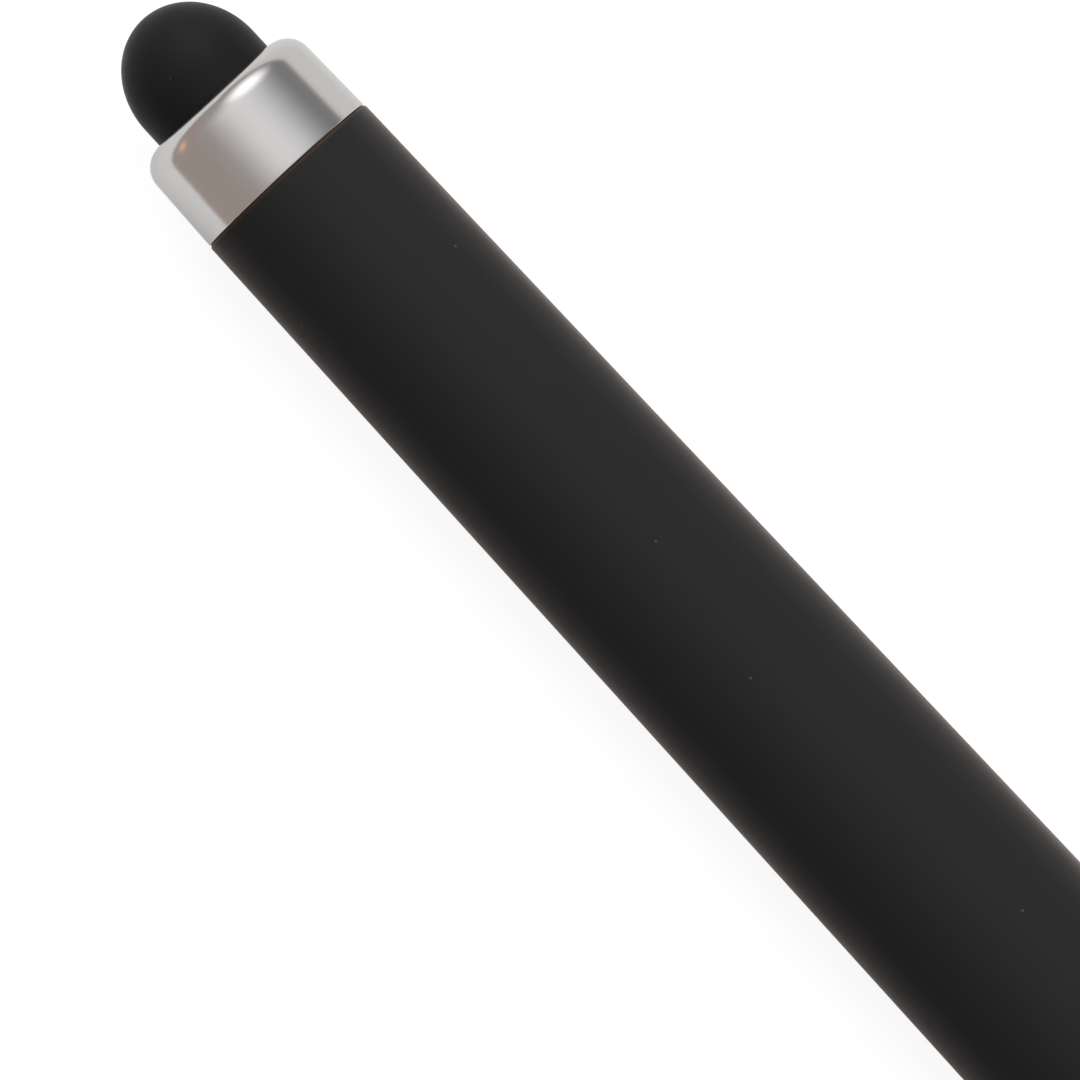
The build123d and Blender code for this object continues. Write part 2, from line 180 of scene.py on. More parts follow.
# Studio. A place is a direction's shares towards the camera, across the pen and along it.
WARM_GREY = (0.50, 0.43, 0.39)
MID_GREY = (0.49, 0.465, 0.46)
COOL_GREY = (0.30, 0.295, 0.31)
WARM_TURNS = (-1.0, -0.35)  # how far across the pen one grey turns to the next
COOL_TURNS = (-0.1, 0.8)
PALE = (0.94, 0.92, 0.91)
PALE_STARTS = (0.07, 0.17)
GLOW = (0.74, 0.75, 0.76)
GLOW_PLACE = (0.91, 0.35, -0.24)
GLOW_EDGE = 0.48
LAMP_GLOW = (1.65, 1.62, 1.6)
LAMP_PLACE = (0.493, 0.525, -0.691)
LAMP_EDGE = 0.8
SPOT_FADE = 2.0  # power by which a bright spot fades to its edge
LAMP_SIZE = 0.85
LAMP_DISTANCE = 0.8
LAMP_POWER = 7.5
FLOOR_SIZE = 12.0
FLOOR_PALE = (0.12, 0.10, 0.38)  # for other rays, the camera and metal
FLOOR_GLOW = (0.0, 0.92, 0.48)
CARD_LEVEL = 0.05 * MM
GREY_CARD_NEAR = -8.6 * MM
GREY_CARD_SIZE = (3.0, 1.5)
ORANGE = (1.5, 0.90, 0.55)
ORANGE_CENTRE = (-81 * MM, -15 * MM)
ORANGE_SIZE = (14 * MM, 12 * MM)

tip_low, tip_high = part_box("stylus_tip")
ferrule_low, ferrule_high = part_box("ferrule")
upper_low, upper_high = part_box("upper_barrel")
ring_low, ring_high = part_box("centre_ring")
lower_low, lower_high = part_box("lower_barrel")
nose_low, nose_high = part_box("nose_cone")
point_low, point_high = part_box("refill_point")
clip_low, clip_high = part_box("clip")

seam = upper_low.x
barrel_r = upper_high.z
ferrule_r = ferrule_high.z
taper_end = upper_high.x - UPPER_STRAIGHT
ball_centre = point_high.x - BALL_HOLD
floor_level = cad_low.z

# Directions from the pen: towards the camera, and across the pen to its upper side in the picture
to_camera = Vector((
    sin(CAMERA_LEAN),
    -cos(CAMERA_LEAN) * cos(CAMERA_HEIGHT),
    cos(CAMERA_LEAN) * sin(CAMERA_HEIGHT),
))
across = Vector((0, sin(CAMERA_HEIGHT), cos(CAMERA_HEIGHT)))
along = across.cross(to_camera).normalized()


# Steps of the modelling


def start_piece(name, place):
    """Adds a plane, merges it to one vertex at the place and leaves it selected in edit mode."""
    bpy.ops.object.select_all(action="DESELECT")
    bpy.ops.mesh.primitive_plane_add(size=MM)
    piece = bpy.context.object
    piece.name = name
    piece.data.name = name
    bpy.ops.object.mode_set(mode="EDIT")
    bpy.ops.mesh.select_mode(type="VERT")
    bpy.ops.mesh.merge(type="CENTER")
    bpy.ops.transform.translate(value=(place[0], 0, place[1]))
    return piece


def draw_outline(points):
    """Extrudes the selected vertex from point to point. A point is a station and a height over the axis."""
    for here, there in zip(points, points[1:]):
        step = (there[0] - here[0], 0, there[1] - here[1])
        bpy.ops.mesh.extrude_region_move(TRANSFORM_OT_translate={"value": step})


def merge_doubles():
    """Merges the vertices that lie on each other."""
    bpy.ops.mesh.select_all(action="SELECT")
    bpy.ops.mesh.remove_doubles(threshold=MERGE_DISTANCE)


def pick_vertices(piece, wanted):
    """Selects the vertices whose places are wanted, and what lies between them."""
    mesh = bmesh.from_edit_mesh(piece.data)
    for vertex in mesh.verts:
        vertex.select = wanted(vertex.co)
    mesh.select_flush_mode()
    bmesh.update_edit_mesh(piece.data)


def round_corner(piece, corner, offset):
    """Rounds one corner of the outline. The offset is where the round starts on each side of it."""
    place = Vector((corner[0], 0, corner[1]))
    pick_vertices(piece, lambda co: (co - place).length < MERGE_DISTANCE)
    bpy.ops.mesh.bevel(offset=offset, segments=ROUND_STEPS, affect="VERTICES")


def split_long_edges(piece, longest=LONGEST_EDGE):
    """Halves the edges that are too long until none is."""
    bpy.ops.mesh.select_mode(type="EDGE")
    while True:
        mesh = bmesh.from_edit_mesh(piece.data)
        found = False
        for edge in mesh.edges:
            too_long = edge.calc_length() > longest
            edge.select_set(too_long)
            found = found or too_long
        bmesh.update_edit_mesh(piece.data)
        if not found:
            break
        bpy.ops.mesh.subdivide(number_cuts=1)
    bpy.ops.mesh.select_mode(type="VERT")


def spin_outline():
    """Turns the outline round the pen's axis, closes the seam and leaves edit mode."""
    bpy.ops.mesh.select_all(action="SELECT")
    bpy.ops.mesh.spin(steps=TURN_STEPS, angle=2 * pi, center=(0, 0, 0), axis=(1, 0, 0))
    merge_doubles()
    bpy.ops.mesh.normals_make_consistent(inside=False)
    bpy.ops.object.mode_set(mode="OBJECT")


def turn_piece(name, outline, rounds=()):
    """Turns a piece from its outline, with the listed corners rounded."""
    piece = start_piece(name, outline[0])
    draw_outline(outline)
    merge_doubles()
    for corner, offset in rounds:
        round_corner(piece, corner, offset)
    split_long_edges(piece)
    spin_outline()
    return piece


def quarter_ellipse(centre, length, height):
    """Points from the axis, at the far end of a dome, to its full height over the centre."""
    points = []
    for step in range(CURVE_STEPS + 1):
        angle = pi / 2 * step / CURVE_STEPS
        points.append((centre - length * cos(angle), height * sin(angle)))
    return points


def tangent_arc(start, angle, end):
    """Points on the arc that leaves the start at the given angle below the axis and reaches the end."""
    chord = Vector(end) - Vector(start)
    turn = 2 * (atan2(-chord.y, chord.x) - angle)
    radius = chord.length / 2 / sin(turn / 2)
    points = []
    for step in range(CURVE_STEPS + 1):
        here = angle + turn * step / CURVE_STEPS
        points.append((
            start[0] + radius * (sin(here) - sin(angle)),
            start[1] - radius * (cos(angle) - cos(here)),
        ))
    return points


def select_only(piece):
    """Selects the piece alone and makes it the active one."""
    bpy.ops.object.select_all(action="DESELECT")
    piece.select_set(True)
    bpy.context.view_layer.objects.active = piece


def apply_modifier(piece, kind, **settings):
    """Adds a modifier with the given settings to the piece and applies it."""
    select_only(piece)
    modifier = piece.modifiers.new(kind.lower(), kind)
    for setting, value in settings.items():
        setattr(modifier, setting, value)
    bpy.ops.object.modifier_apply(modifier=modifier.name)


def smooth(piece):
    """Shades the piece smooth, apart from its sharp edges."""
    select_only(piece)
    bpy.ops.object.shade_smooth_by_angle(angle=SMOOTH_ANGLE)


# Room for the clip


def taper_r(station):
    """Radius of the upper barrel's taper at a station."""
    return BARREL_TOP_R + (barrel_r - BARREL_TOP_R) * (station - seam) / (taper_end - seam)


def clip_root():
    """Height of the clip's strap, at the middle of its sheet, over the foot."""
    return taper_r(clip_low.x) + CLIP_STAND_OFF + CLIP_THICKNESS / 2


def clip_turn():
    """How far the clip's plane is turned about the axis, from straight up to its place beside the pen."""
    crest = clip_root() + CLIP_THICKNESS / 2
    side = CLIP_WIDTH / 2
    drop = asin(barrel_r / hypot(crest, side)) - atan2(side, crest)
    return -(pi / 2 + drop)


def turn_to_clip(piece):
    """Turns a piece that was made above the axis round to the clip's side."""
    select_only(piece)
    piece.rotation_euler.x = clip_turn()
    bpy.ops.object.transform_apply(location=True, rotation=True, scale=True)


def cut_clip_room(piece, start, end):
    """Cuts the room for the clip's foot through the wall, between two stations."""
    bpy.ops.object.select_all(action="DESELECT")
    bpy.ops.mesh.primitive_cube_add(size=1, location=((start + end) / 2, 0, barrel_r))
    cutter = bpy.context.object
    cutter.scale = (end - start, CLIP_WIDTH + 2 * SLOT_GAP, 2 * barrel_r)
    bpy.ops.object.transform_apply(location=True, rotation=True, scale=True)
    turn_to_clip(cutter)
    apply_modifier(piece, "BOOLEAN", object=cutter, operation="DIFFERENCE", solver="EXACT")
    bpy.data.objects.remove(cutter)


# Shapes


def soft_tip():
    """Hollow rubber dome with the flange that the ferrule holds."""
    crown = tip_low.x + TIP_CROWN
    flange = tip_high.x - TIP_FLANGE
    inner_r = TIP_R - TIP_WALL
    outline = quarter_ellipse(crown, TIP_CROWN, TIP_R)
    outline += [
        (flange, TIP_R),
        (flange, tip_high.z),
        (tip_high.x, tip_high.z),
        (tip_high.x, inner_r),
    ]
    outline += reversed(quarter_ellipse(crown, TIP_CROWN - TIP_WALL, inner_r))
    return turn_piece("soft_tip", outline)


def chrome_ferrule():
    """Ferrule with a rounded shoulder, a lip over the tip's flange and a notched spigot for the clip."""
    top = ferrule_low.x
    flange = top + FERRULE_LIP
    plug = tip_high.x
    shoulder = (top, ferrule_r - FERRULE_TAPER)
    edge = (seam, ferrule_r)
    outline = [
        (top, TIP_R),
        shoulder,
        edge,
        (seam, BORE_R),
        (ferrule_high.x, BORE_R),
        (ferrule_high.x, PLUG_R),
        (plug, PLUG_R),
        (plug, tip_high.z),
        (flange, tip_high.z),
        (flange, TIP_R),
        (top, TIP_R),
    ]
    piece = turn_piece("chrome_ferrule", outline, [(shoulder, FERRULE_EDGE_R), (edge, FERRULE_SEAM_R)])
    cut_clip_room(piece, clip_low.x - SLOT_GAP, ferrule_high.x + SLOT_GAP)
    return piece


def tapered_barrel():
    """Upper barrel: a tube that widens to the twist joint, with a slot for the clip's foot."""
    top = (seam, BARREL_TOP_R)
    end = (upper_high.x, barrel_r)
    outline = [
        (seam, BORE_R),
        top,
        (taper_end, barrel_r),
        end,
        (upper_high.x, BORE_R),
        (seam, BORE_R),
    ]
    piece = turn_piece("tapered_barrel", outline, [(top, BARREL_SEAM_R), (end, BARREL_EDGE_R)])
    cut_clip_room(piece, clip_low.x - SLOT_GAP, clip_low.x + CLIP_THICKNESS + SLOT_GAP)
    return piece


def twist_ring():
    """Trim ring between the two barrels, with the lip that the guide sleeve clamps."""
    top = (ring_low.x, barrel_r)
    end = (ring_high.x, barrel_r)
    lip = ring_low.x + RING_LIP
    outline = [
        (ring_low.x, GUIDE_R),
        top,
        end,
        (ring_high.x, BORE_R),
        (lip, BORE_R),
        (lip, GUIDE_R),
        (ring_low.x, GUIDE_R),
    ]
    return turn_piece("twist_ring", outline, [(top, RING_EDGE_R), (end, RING_EDGE_R)])


def grip_barrel():
    """Lower barrel: straight for the grip, then an easy curve down to the nose cone."""
    top = (lower_low.x, barrel_r)
    tip = (lower_high.x, BARREL_TIP_R)
    outline = [(lower_low.x, BORE_R), top]
    outline += tangent_arc((LOWER_STRAIGHT, barrel_r), 0, tip)
    outline += [(lower_high.x, BORE_R), (lower_low.x, BORE_R)]
    return turn_piece("grip_barrel", outline, [(top, BARREL_EDGE_R), (tip, BARREL_EDGE_R)])


def chrome_nose():
    """Nose cone with its spigot, the spring's chamber and the exit hole."""
    front = nose_high.x
    joint = lower_high.x
    tip = (front, NOSE_TIP_R)
    seat = front - SPRING_SEAT
    chamber = seat - CHAMBER_LENGTH
    outline = [
        (front, NOSE_EXIT_R),
        (seat, NOSE_EXIT_R),
        (seat, CHAMBER_R),
        (chamber, CHAMBER_R),
        (chamber, SLEEVE_R),
        (nose_low.x, SLEEVE_R),
        (nose_low.x, BORE_R),
        (joint, BORE_R),
    ]
    outline += tangent_arc((joint, nose_high.z), NOSE_ANGLE, tip)
    outline += [(front, NOSE_EXIT_R)]
    return turn_piece("chrome_nose", outline, [(tip, NOSE_EDGE_R)])


def metal_point():
    """Refill point: cone, ink channel and the round socket whose rim holds the ball."""
    rim_edge = (point_high.x, POINT_RIM_R)
    outline = [
        rim_edge,
        (point_high.x - POINT_CONE, POINT_R),
        (point_low.x, POINT_R),
        (point_low.x, INK_CHANNEL_R),
    ]
    socket_r = BALL_R + BALL_GAP
    channel = pi - asin(INK_CHANNEL_R / socket_r)
    rim = acos(BALL_HOLD / socket_r)
    for step in range(CURVE_STEPS + 1):
        angle = channel + (rim - channel) * step / CURVE_STEPS
        outline.append((ball_centre + socket_r * cos(angle), socket_r * sin(angle)))
    outline.append(rim_edge)
    return turn_piece("metal_point", outline)


def rolling_ball():
    """Writing ball in the point's socket."""
    bpy.ops.object.select_all(action="DESELECT")
    bpy.ops.mesh.primitive_ico_sphere_add(
        subdivisions=BALL_DIVISIONS, radius=BALL_R, location=(ball_centre, 0, 0)
    )
    piece = bpy.context.object
    piece.name = "rolling_ball"
    piece.data.name = "rolling_ball"
    bpy.ops.object.transform_apply(location=True, rotation=True, scale=True)
    return piece


def widen_clip(piece):
    """Widens the clip's line to its strap, which narrows towards the free end, and rounds that end."""
    bpy.ops.mesh.select_all(action="SELECT")
    bpy.ops.transform.translate(value=(0, -CLIP_WIDTH / 2, 0))
    bpy.ops.mesh.extrude_region_move(TRANSFORM_OT_translate={"value": (0, CLIP_WIDTH, 0)})
    widest = clip_low.x - CLIP_OVERRUN
    narrowing = 1 - CLIP_TIP_WIDTH / CLIP_WIDTH
    mesh = bmesh.from_edit_mesh(piece.data)
    for vertex in mesh.verts:
        vertex.co.y *= 1 - narrowing * (vertex.co.x - widest) / (clip_high.x - widest)
    bmesh.update_edit_mesh(piece.data)
    pick_vertices(piece, lambda co: co.x > clip_high.x - MERGE_DISTANCE)
    bpy.ops.mesh.bevel(offset=CLIP_CORNER_R, segments=ROUND_STEPS, affect="VERTICES")
    bpy.ops.mesh.select_all(action="SELECT")
    bpy.ops.mesh.normals_make_consistent(inside=False)


def sprung_clip():
    """Clip: one bent strip with a toe inside the barrel, a foot through its slot and a tapered strap."""
    foot = clip_low.x + CLIP_THICKNESS / 2
    contact = clip_high.x - CLIP_LIP
    contact_r = taper_r(contact) + CLIP_CONTACT_GAP + CLIP_THICKNESS / 2
    heel = (foot, CLIP_TOE_AT)
    root = (foot, clip_root())
    touch = (contact, contact_r)
    outline = [
        (foot + CLIP_TOE, CLIP_TOE_AT),
        heel,
        root,
        touch,
        (clip_high.x, contact_r + CLIP_LIFT),
    ]
    piece = start_piece("sprung_clip", outline[0])
    draw_outline(outline)
    round_corner(piece, heel, CLIP_TOE_R)
    round_corner(piece, root, CLIP_BEND_R)
    round_corner(piece, touch, CLIP_CONTACT_ROUND)
    split_long_edges(piece, CLIP_LONGEST_EDGE)
    widen_clip(piece)
    bpy.ops.object.mode_set(mode="OBJECT")
    apply_modifier(piece, "SOLIDIFY", thickness=CLIP_THICKNESS, offset=0, use_even_offset=True)
    apply_modifier(
        piece,
        "BEVEL",
        width=CLIP_EDGE_R,
        segments=CLIP_EDGE_STEPS,
        limit_method="ANGLE",
        angle_limit=CLIP_EDGE_ANGLE,
    )
    turn_to_clip(piece)
    return piece


# Steps of the finishes


def add_node(tree, kind, inputs=None):
    """Adds a node and sets the inputs that are named."""
    node = tree.nodes.new(kind)
    for name, value in (inputs or {}).items():
        node.inputs[name].default_value = value
    return node


def bare_material(name):
    """Makes a material with no nodes and returns it with its tree."""
    material = bpy.data.materials.new(name)
    material.use_nodes = True
    material.node_tree.nodes.clear()
    return material, material.node_tree


def show(tree, surface):
    """Sends the surface to the material's output."""
    output = add_node(tree, "ShaderNodeOutputMaterial")
    tree.links.new(surface, output.inputs["Surface"])


def new_finish(name):
    """Makes a material with one shader and returns the material, its tree and the shader."""
    material, tree = bare_material(name)
    shader = add_node(tree, "ShaderNodeBsdfPrincipled")
    show(tree, shader.outputs["BSDF"])
    return material, tree, shader


def places(tree, scale):
    """Object coordinates, times a scale for each axis, with lengths in millimetres before it."""
    coordinates = add_node(tree, "ShaderNodeTexCoord")
    mapping = add_node(tree, "ShaderNodeMapping", {"Scale": Vector(scale) / MM})
    tree.links.new(coordinates.outputs["Object"], mapping.inputs["Vector"])
    return mapping.outputs["Vector"]


def noise(tree, scale, detail=PLAIN_DETAIL):
    """Noise over the surface. The scale is in marks per millimetre along each axis."""
    node = add_node(tree, "ShaderNodeTexNoise", {"Scale": 1.0, "Detail": detail})
    tree.links.new(places(tree, scale), node.inputs["Vector"])
    return node.outputs["Fac"]


def spread(tree, source, low, high, start=0.0, end=1.0):
    """Maps a value from one range to another, easing at both ends."""
    node = add_node(tree, "ShaderNodeMapRange", {
        "From Min": low, "From Max": high, "To Min": start, "To Max": end,
    })
    node.interpolation_type = "SMOOTHSTEP"
    tree.links.new(source, node.inputs["Value"])
    return node.outputs["Result"]


def ramp(tree, source, low, high):
    """Colour between two colours."""
    node = add_node(tree, "ShaderNodeValToRGB")
    node.color_ramp.elements[0].color = (*low, 1)
    node.color_ramp.elements[1].color = (*high, 1)
    tree.links.new(source, node.inputs["Fac"])
    return node.outputs["Color"]


def product(tree, first, second):
    """One value times another."""
    node = add_node(tree, "ShaderNodeMath")
    node.operation = "MULTIPLY"
    tree.links.new(first, node.inputs[0])
    tree.links.new(second, node.inputs[1])
    return node.outputs["Value"]


def mix_in(tree, how, factor, first, second):
    """Mixes a fixed colour into a linked one."""
    node = add_node(tree, "ShaderNodeMix")
    node.data_type = "RGBA"
    node.blend_type = how
    # The sockets for colours, among those that the node has for numbers and vectors too
    factor_in, first_in, second_in = node.inputs[0], node.inputs[6], node.inputs[7]
    tree.links.new(factor, factor_in)
    tree.links.new(first, first_in)
    second_in.default_value = (*second, 1)
    return node.outputs[2]


def bump(tree, shader, source, height):
    """Raises the surface by a height times the source."""
    node = add_node(tree, "ShaderNodeBump", {"Strength": 1.0, "Distance": height})
    tree.links.new(source, node.inputs["Height"])
    tree.links.new(node.outputs["Normal"], shader.inputs["Normal"])


def dust(tree, spacing, size, share):
    """Sparse specks: 1 on a speck and 0 elsewhere. Only a share of the evenly spread places have one."""
    cells = add_node(tree, "ShaderNodeTexVoronoi", {"Scale": 1.0})
    tree.links.new(places(tree, (1 / spacing,) * 3), cells.inputs["Vector"])
    near = spread(tree, cells.outputs["Distance"], size / spacing, SPECK_CORE * size / spacing)
    chosen = add_node(tree, "ShaderNodeMath", {1: 1 - share})
    chosen.operation = "GREATER_THAN"
    tree.links.new(cells.outputs["Color"], chosen.inputs[0])
    return product(tree, near, chosen.outputs["Value"])


def painted_seam_glint(tree):
    """Painted reflection: a patchy brown glint of the chrome, painted into the lacquer on the barrel's end
    beside the ferrule: 0 where there is none.
    """
    coordinates = add_node(tree, "ShaderNodeTexCoord")
    parts = add_node(tree, "ShaderNodeSeparateXYZ")
    tree.links.new(coordinates.outputs["Object"], parts.inputs["Vector"])
    begins, full = SEAM_GLINT_REACH
    near = spread(tree, parts.outputs["X"], seam + begins, seam + full)
    patches = spread(tree, noise(tree, (SEAM_GLINT_PATCHES,) * 3), *NOISE_RANGE, *SEAM_GLINT_SHARES)
    return product(tree, near, patches)


# Finishes


def black_finish(name, black, speck, specks, mottle, roughness, skin, height, gloss, sheen, seam_glint):
    """Matt black surface with a fine skin, faint mottling, a little dust, a warm sheen at its edges and,
    where asked, a painted brown glint beside the ferrule.
    """
    material, tree, shader = new_finish(name)
    colour = ramp(tree, dust(tree, *specks), black, speck)
    # Painted reflection: the chrome's warm glint, painted brown into the lacquer beside the ferrule
    if seam_glint:
        colour = mix_in(tree, "MIX", painted_seam_glint(tree), colour, SEAM_GLINT_BROWN)
    tree.links.new(colour, shader.inputs["Base Color"])
    uneven = spread(tree, noise(tree, mottle), *NOISE_RANGE, *roughness)
    tree.links.new(uneven, shader.inputs["Roughness"])
    bump(tree, shader, noise(tree, (skin,) * 3, FINE_DETAIL), height)
    shader.inputs["Specular IOR Level"].default_value = gloss
    shader.inputs["Sheen Weight"].default_value = sheen
    shader.inputs["Sheen Roughness"].default_value = SHEEN_ROUGHNESS
    shader.inputs["Sheen Tint"].default_value = SHEEN_TINT
    return material


def soft_touch_finish():
    """Black soft-touch lacquer of the barrels."""
    return black_finish(
        "soft_touch_lacquer",
        black=(0.0172, 0.0173, 0.0175),
        speck=(0.055, 0.052, 0.05),
        specks=(2.6, 0.10, 0.8),
        mottle=(0.25, 0.5, 0.5),
        roughness=(0.38, 0.44),
        skin=6,
        height=0.0012 * MM,
        gloss=0.055,
        sheen=0.25,
        # with the painted brown glint beside the ferrule
        seam_glint=True,
    )


def rubber_finish():
    """Black conductive rubber of the tip, darker and finer than the lacquer."""
    return black_finish(
        "conductive_rubber",
        black=(0.0104, 0.0106, 0.0108),
        speck=(0.04, 0.039, 0.038),
        specks=(2.2, 0.09, 0.8),
        mottle=(0.6, 0.6, 0.6),
        roughness=(0.42, 0.48),
        skin=9,
        height=0.0008 * MM,
        gloss=0.06,
        sheen=0.05,
        seam_glint=False,
    )


def plain_finish(name, dark, pale, patches, roughness, grain, height):
    """Surface whose colour changes slightly in patches, with a grain in its gloss and its relief."""
    material, tree, shader = new_finish(name)
    tree.links.new(ramp(tree, noise(tree, (patches,) * 3), dark, pale), shader.inputs["Base Color"])
    marks = noise(tree, grain)
    tree.links.new(spread(tree, marks, *NOISE_RANGE, *roughness), shader.inputs["Roughness"])
    bump(tree, shader, marks, height)
    return material, shader


def metal_finish(name, dark, pale, roughness, grain, height):
    """Metal with fine marks. On turned pieces they run round the axis."""
    material, shader = plain_finish(name, dark, pale, METAL_PATCHES, roughness, grain, height)
    shader.inputs["Metallic"].default_value = 1.0
    shader.inputs["Specular Tint"].default_value = METAL_EDGE_TINT
    return material


def satin_chrome_finish():
    """Satin chrome plate."""
    return metal_finish(
        "satin_chrome_plate",
        dark=(0.55, 0.54, 0.53),
        pale=(0.58, 0.57, 0.56),
        roughness=(0.16, 0.20),
        grain=(14, 0.6, 0.6),
        height=0.0001 * MM,
    )


def spring_steel_finish():
    """Bright drawn steel."""
    return metal_finish(
        "drawn_spring_steel",
        dark=(0.42, 0.42, 0.43),
        pale=(0.52, 0.52, 0.53),
        roughness=(0.24, 0.36),
        grain=(3, 9, 9),
        height=0.0004 * MM,
    )


def brass_finish():
    """Turned brass."""
    return metal_finish(
        "turned_brass",
        dark=(0.60, 0.42, 0.17),
        pale=(0.74, 0.54, 0.24),
        roughness=(0.22, 0.36),
        grain=(16, 0.8, 0.8),
        height=0.0006 * MM,
    )


def refill_steel_finish():
    """Nickel-plated steel of the refill."""
    return metal_finish(
        "nickel_plate",
        dark=(0.52, 0.49, 0.44),
        pale=(0.60, 0.57, 0.52),
        roughness=(0.16, 0.26),
        grain=(12, 0.8, 0.8),
        height=0.0003 * MM,
    )


def carbide_finish():
    """Ground hard-metal ball."""
    return metal_finish(
        "ground_hard_metal",
        dark=(0.30, 0.30, 0.31),
        pale=(0.38, 0.38, 0.39),
        roughness=(0.12, 0.24),
        grain=(20, 20, 20),
        height=0.0002 * MM,
    )


def moulded_finish(name, dark, pale, roughness, grain, height):
    """Moulded plastic or rubber with an even grain."""
    return plain_finish(name, dark, pale, MOULDED_PATCHES, roughness, (grain,) * 3, height)[0]


def cam_plastic_finish():
    """Off-white acetal of the twist mechanism."""
    return moulded_finish(
        "acetal",
        dark=(0.70, 0.69, 0.65),
        pale=(0.78, 0.77, 0.73),
        roughness=(0.38, 0.48),
        grain=5,
        height=0.001 * MM,
    )


def nitrile_finish():
    """Black nitrile of the friction ring."""
    return moulded_finish(
        "nitrile_rubber",
        dark=(0.012, 0.012, 0.013),
        pale=(0.022, 0.022, 0.023),
        roughness=(0.5, 0.65),
        grain=7,
        height=0.002 * MM,
    )


def refill_plastic_finish():
    """Grey plastic of the refill's cap."""
    return moulded_finish(
        "refill_cap_plastic",
        dark=(0.16, 0.17, 0.18),
        pale=(0.20, 0.21, 0.22),
        roughness=(0.4, 0.5),
        grain=5,
        height=0.001 * MM,
    )


def ink_finish():
    """Thick black ink."""
    return moulded_finish(
        "ballpoint_ink",
        dark=(0.004, 0.004, 0.007),
        pale=(0.008, 0.008, 0.012),
        roughness=(0.08, 0.16),
        grain=1,
        height=0.002 * MM,
    )


# Placing


def dress(piece, finish):
    """Gives a piece its finish."""
    piece.data.materials.clear()
    piece.data.materials.append(finish)


def place_piece(piece, node, body, finish):
    """Finishes a piece and lets it stand for its node. A piece given no body rides on none."""
    smooth(piece)
    dress(piece, finish)
    if body is not None:
        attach(piece, body)
    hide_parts(node)


# Studio


def studio_camera():
    """Long-lens camera at the photograph's angle, with the pen at the photograph's place in the picture."""
    scale = 2 * ferrule_r / FERRULE_PIXELS
    right = cos(PEN_TURN) * along + sin(PEN_TURN) * across
    up = cos(PEN_TURN) * across - sin(PEN_TURN) * along
    middle = PHOTO_SIZE / 2
    aim = Vector((seam, 0, 0))
    aim += right * (middle - SEAM_PIXEL[0]) * scale
    aim -= up * (middle - SEAM_PIXEL[1]) * scale
    data = bpy.data.cameras.new("studio_camera")
    data.sensor_width = SENSOR
    data.lens = SENSOR * CAMERA_DISTANCE / (PHOTO_SIZE * scale)
    camera = bpy.data.objects.new("studio_camera", data)
    bpy.context.scene.collection.objects.link(camera)
    turn = Matrix((right, up, to_camera)).transposed()
    camera.matrix_world = Matrix.Translation(aim + to_camera * CAMERA_DISTANCE) @ turn.to_4x4()
    bpy.context.scene.camera = camera


def by_ray(tree, plain, camera, metal):
    """A value that depends on what looks: the camera, a reflection or any other ray."""
    path = add_node(tree, "ShaderNodeLightPath")
    for_camera = add_node(tree, "ShaderNodeMath", {1: camera - plain, 2: plain})
    for_camera.operation = "MULTIPLY_ADD"
    tree.links.new(path.outputs["Is Camera Ray"], for_camera.inputs[0])
    for_metal = add_node(tree, "ShaderNodeMath", {1: metal - plain})
    for_metal.operation = "MULTIPLY_ADD"
    tree.links.new(path.outputs["Is Glossy Ray"], for_metal.inputs[0])
    tree.links.new(for_camera.outputs["Value"], for_metal.inputs[2])
    return for_metal.outputs["Value"]


def floor_finish():
    """Pale floor that looks white to the camera and in metal, and keeps the pen's soft shadow."""
    material, tree = bare_material("pale_floor")
    pale = add_node(tree, "ShaderNodeBsdfDiffuse")
    tree.links.new(by_ray(tree, *FLOOR_PALE), pale.inputs["Color"])
    glow = add_node(tree, "ShaderNodeEmission")
    tree.links.new(by_ray(tree, *FLOOR_GLOW), glow.inputs["Strength"])
    both = add_node(tree, "ShaderNodeAddShader")
    tree.links.new(pale.outputs["BSDF"], both.inputs[0])
    tree.links.new(glow.outputs["Emission"], both.inputs[1])
    show(tree, both.outputs["Shader"])
    return material


def studio_floor():
    """Plain pale floor under the pen."""
    bpy.ops.object.select_all(action="DESELECT")
    bpy.ops.mesh.primitive_plane_add(size=FLOOR_SIZE, location=(0, 0, floor_level))
    floor = bpy.context.object
    floor.name = "floor"
    floor.data.materials.append(floor_finish())


def card_finish(name, middle, edge, centre, size):
    """Finish of a card, with one colour in its middle that fades to another at its edge."""
    material, tree = bare_material(name)
    half_x, half_y = size[0] / 2, size[1] / 2
    coordinates = add_node(tree, "ShaderNodeTexCoord")
    mapping = add_node(tree, "ShaderNodeMapping", {
        "Scale": (1 / half_x, 1 / half_y, 0),
        "Location": (-centre[0] / half_x, -centre[1] / half_y, 0),
    })
    tree.links.new(coordinates.outputs["Object"], mapping.inputs["Vector"])
    inwards = add_node(tree, "ShaderNodeTexGradient")
    inwards.gradient_type = "QUADRATIC_SPHERE"
    tree.links.new(mapping.outputs["Vector"], inwards.inputs["Vector"])
    glow = add_node(tree, "ShaderNodeEmission")
    tree.links.new(ramp(tree, inwards.outputs["Fac"], edge, middle), glow.inputs["Color"])
    show(tree, glow.outputs["Emission"])
    return material


def lying_card(name, centre, size, level, middle, edge):
    """Coloured card lying beside the pen, which only the metal and the lacquer's gloss see."""
    bpy.ops.object.select_all(action="DESELECT")
    bpy.ops.mesh.primitive_plane_add(size=1, location=(*centre, floor_level + level))
    card = bpy.context.object
    card.name = name
    card.scale = (*size, 1)
    bpy.ops.object.transform_apply(location=True, rotation=True, scale=True)
    card.data.materials.append(card_finish(name, middle, edge, centre, size))
    card.visible_camera = False
    card.visible_diffuse = False
    card.visible_shadow = False
    card.visible_transmission = False


def pen_direction(shares):
    """Direction from its shares towards the camera, across the pen and along it."""
    return (shares[0] * to_camera + shares[1] * across + shares[2] * along).normalized()


